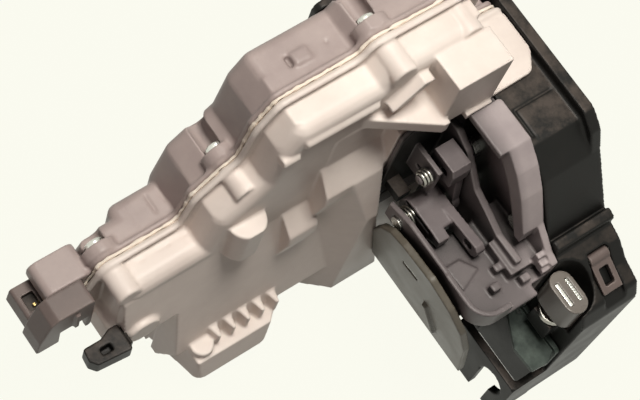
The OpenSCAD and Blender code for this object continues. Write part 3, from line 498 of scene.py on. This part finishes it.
# near-black blocks behind the window and behind the opening in the front: painted shade of the
# connector's inside
bm = bmesh.new()
add_block(bm, (-94.6, -7.6, -77), (-79.6, 9.4, -75.5))
add_block(bm, (-90.4, -6.4, -77), (-79.6, -5.6, -72))
add_piece("connector_inside_shade", bm, black_nylon, "frame")
dress(tinned_brass, "connector_pins")
bm = copy_of("wire_clip")
# root that sits against the cover, and a floor in the slot
add_block(bm, (-73, -21, -89), (-69.4, -14.5, -84))
add_block(bm, (-80.5, -20.5, -89), (-75.5, -17, -86))
holder = add_piece("cable_holder", bm, black_nylon, "frame")
melt(holder, 0.3, 2)
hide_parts("wire_clip")

# Carrier of the levers: the same plastic as the back shell, moulded with the trough, the steps
# and the band that follows the frame. A black sheet behind the levers stands for the deep shade of
# their room, as painted shade.
# the same polypropylene, darkened with painted shade in its deep corners and towards the room of
# the levers
carrier_plastic = moulded_plastic("polypropylene_slate", "#aaa0a0", "#9c9293", "#e0d7d5",
                                  "#0f0d0d", 0.4, 0.45, 0.2, cavity_mm=16, cavity=0.97, wear_and_highlight=0.7,
                                  sheen=0.3, painted_shade_band=(43, 50))
carrier = add_piece("lever_carrier", copy_of("lever_housing"), carrier_plastic, "frame")
melt(carrier, 0.4, 2, 0.6)
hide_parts("lever_housing")
# black sheet: painted shade of the room behind the levers
bm = bmesh.new()
add_prism(bm, [(23.4, -61), (23.4, -31), (27, -27.2), (43.2, -27.2), (43.2, -74), (20.4, -74)],
          -22.5, -22.15, "y")
add_piece("lever_room_shade_sheet", bm, black_nylon, "frame")

# Leaning side wall of the lever room: beige polyester, with a slot for the bright steel strip
# that holds the lever spring.
# polyester coloured in the olive grey of its shade beside the levers, as painted shade; its rim
# pale from wear and painted highlight
shade_painted_polyester = moulded_plastic("polyester_painted_shade", "#5b564d", "#4e493f", "#8a8272", "#221f1a",
                                  0.45, 0.6, 0.12, cavity_mm=8, cavity=0.9)
wall = add_piece("side_wall", copy_of("lever_cover"), shade_painted_polyester, "frame")
melt(wall, 0.4, 2, 0.6)
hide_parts("lever_cover")
dress(zinc_plate, "spring_post")

# The two release levers: coated pressed steel, one from the outside handle's rod and one from
# the inside handle's cable, on one pin, each with its coil spring.
# baked coat on steel: slate grey and satin, paler at its edges from rubbing and painted highlight,
# darker in its corners as painted shade
coated_lever = moulded_plastic("coated_lever", "#6f6768", "#615a5b", "#b9afae", "#0f0d0d",
                               0.4, 0.4, 0.2, cavity_mm=12, cavity=0.95, wear_and_highlight=0.8, sheen=0.3)
for node, body in (("outside_release_lever", "outside_lever"),
                   ("inside_release_lever", "inside_lever")):
    lever = add_piece(node + "_blank", copy_of(node), coated_lever, body)
    melt(lever, 0.25, 2, 0.7)
    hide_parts(node)
dress(zinc_plate, "lever_pin")

WIRE_R = 0.55
TURN_STEPS = 24         # faces along one turn of a spring


def add_coil(bm, centre, axis, radius, turns, pitch):
    """A helical spring in an empty bmesh, wound around an axis from its lower end up."""
    along = Vector(axis)
    side = along.orthogonal().normalized()
    turn = side.cross(along).to_track_quat("Z", "Y").to_matrix().to_4x4()
    bmesh.ops.create_circle(bm, cap_ends=False, segments=10, radius=WIRE_R * MM,
                            matrix=Matrix.Translation(at(*centre) + side * radius * MM) @ turn)
    steps = int(TURN_STEPS * turns)
    bmesh.ops.spin(bm, geom=list(bm.verts) + list(bm.edges), cent=at(*centre), axis=along,
                   dvec=along * pitch * turns * MM / steps, angle=2 * math.pi * turns, steps=steps)
    bmesh.ops.holes_fill(bm, edges=[e for e in bm.edges if e.is_boundary], sides=0)
    bmesh.ops.recalc_face_normals(bm, faces=bm.faces)


# bare hard-drawn wire: grey, with a clean narrow shine
spring_steel = plated_metal("spring_wire", "#b9b7b0", "#86847e", 0.28)
for node, centre, radius, turns in (("lever_spring", (23.4, -36, -66), 3.7, 2.2),
                                    ("override_spring", (27.4, -32, -46), 2.5, 2.8)):
    bm = bmesh.new()
    add_coil(bm, centre, (1, 0, 0), radius, turns, 1.25)
    coil = add_piece(node + "_wire", bm, spring_steel, "frame", smooth=True)
    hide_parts(node)

# Latch frame: black glass-filled nylon, moulded around the mechanism, dusty on its upper
# faces and paled there by a painted sheen. In it turn the claw in its plastic jacket and the pawl,
# on steel pins.
latch_body = add_piece("latch_body", copy_of("latch_frame"), black_nylon, "frame")
cut = bmesh.new()
# shallow panels in the bracket's back
for low, high in (((17, -50), (36, -29)), ((39, -50), (76, -29)), ((39, -72), (76, -53)),
                  ((39, -95), (60, -75))):
    add_block(cut, (low[0], 21.2, low[1]), (high[0], 24, high[1]))
melt(latch_body, 0.5, 2, 0.28, cut)
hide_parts("latch_frame")
# steel with a dark passivated coat: greenish slate, nearly matt
passivated_steel = plated_metal("passivated_steel", "#474e4a", "#2d3230", 0.48)
# rubber: black and matt
buffer_rubber = moulded_plastic("soft_rubber", "#161616", "#101010", "#333333", "#080808",
                                0.6, 0.4, 0.3)
# galvanised sheet: mid grey, with wide soft clouds
bright_steel = plated_metal("galvanised_steel", "#a9aba4", "#8b8d87", 0.36, cloud_mm=9)
dress(passivated_steel, "back_plate")
dress(bright_steel, "claw", "pawl", "face_plate")
dress(black_nylon, "claw_jacket")
dress(buffer_rubber, "striker_buffer")
dress(zinc_plate, "claw_pin", "pawl_pin", "frame_screws", "bracket_screws")
dress(spring_steel, "claw_spring", "pawl_spring")

# Key cam in the frame's round seat: grey nylon with two bright steel strips pressed in its
# slots, one of them notched, and the spring that centres it.
# grey nylon: smooth, a little shinier than the frame
grey_nylon = moulded_plastic("clear_grey_nylon", "#77716b", "#6a645e", "#b8b2a9", "#2c2825",
                             0.3, 0.5, 0.1)
CAM_X, SLOT_X, STRIP_HALF = 56, 1.9, 0.6
cam = add_piece("key_cam_body", copy_of("key_cam"), grey_nylon, "key_cam")
melt(cam, 0.25, 2, 0.7)
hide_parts("key_cam")
bm = bmesh.new()
for side in (-1, 1):
    middle = CAM_X + side * SLOT_X
    add_block(bm, (middle - STRIP_HALF, -89.4, -68.9),
              (middle + STRIP_HALF, -80.6, -66.2 + 0.2 * (side > 0)))
for tooth in range(9):
    add_block(bm, (57.4, -89.2 + tooth * 0.98, -66.6), (58.4, -88.6 + tooth * 0.98, -65.8))
bmesh.ops.bevel(bm, geom=list(bm.edges), offset=0.12 * MM, offset_type="OFFSET", segments=2,
                profile=0.5, affect="EDGES", material=-1, clamp_overlap=True)
add_piece("key_strips", bm, zinc_plate, "key_cam")
bm = bmesh.new()
add_coil(bm, (CAM_X, -85, -84.6), (0, 0, 1), 4.7, 2.2, 1.3)
cam_coil = add_piece("key_cam_spring_wire", bm, spring_steel, "frame", smooth=True)
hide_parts("key_cam_spring")

# Cable clip on the frame's slope: the same brown-grey nylon as the connector, moulded with a
# window, and hinged on a thin steel pin.
clip = add_piece("cable_clip_body", copy_of("cable_clip"), dark_nylon, "cable_clip")
melt(clip, 0.25, 2, 0.7)
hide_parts("cable_clip")
dress(zinc_plate, "clip_pin")
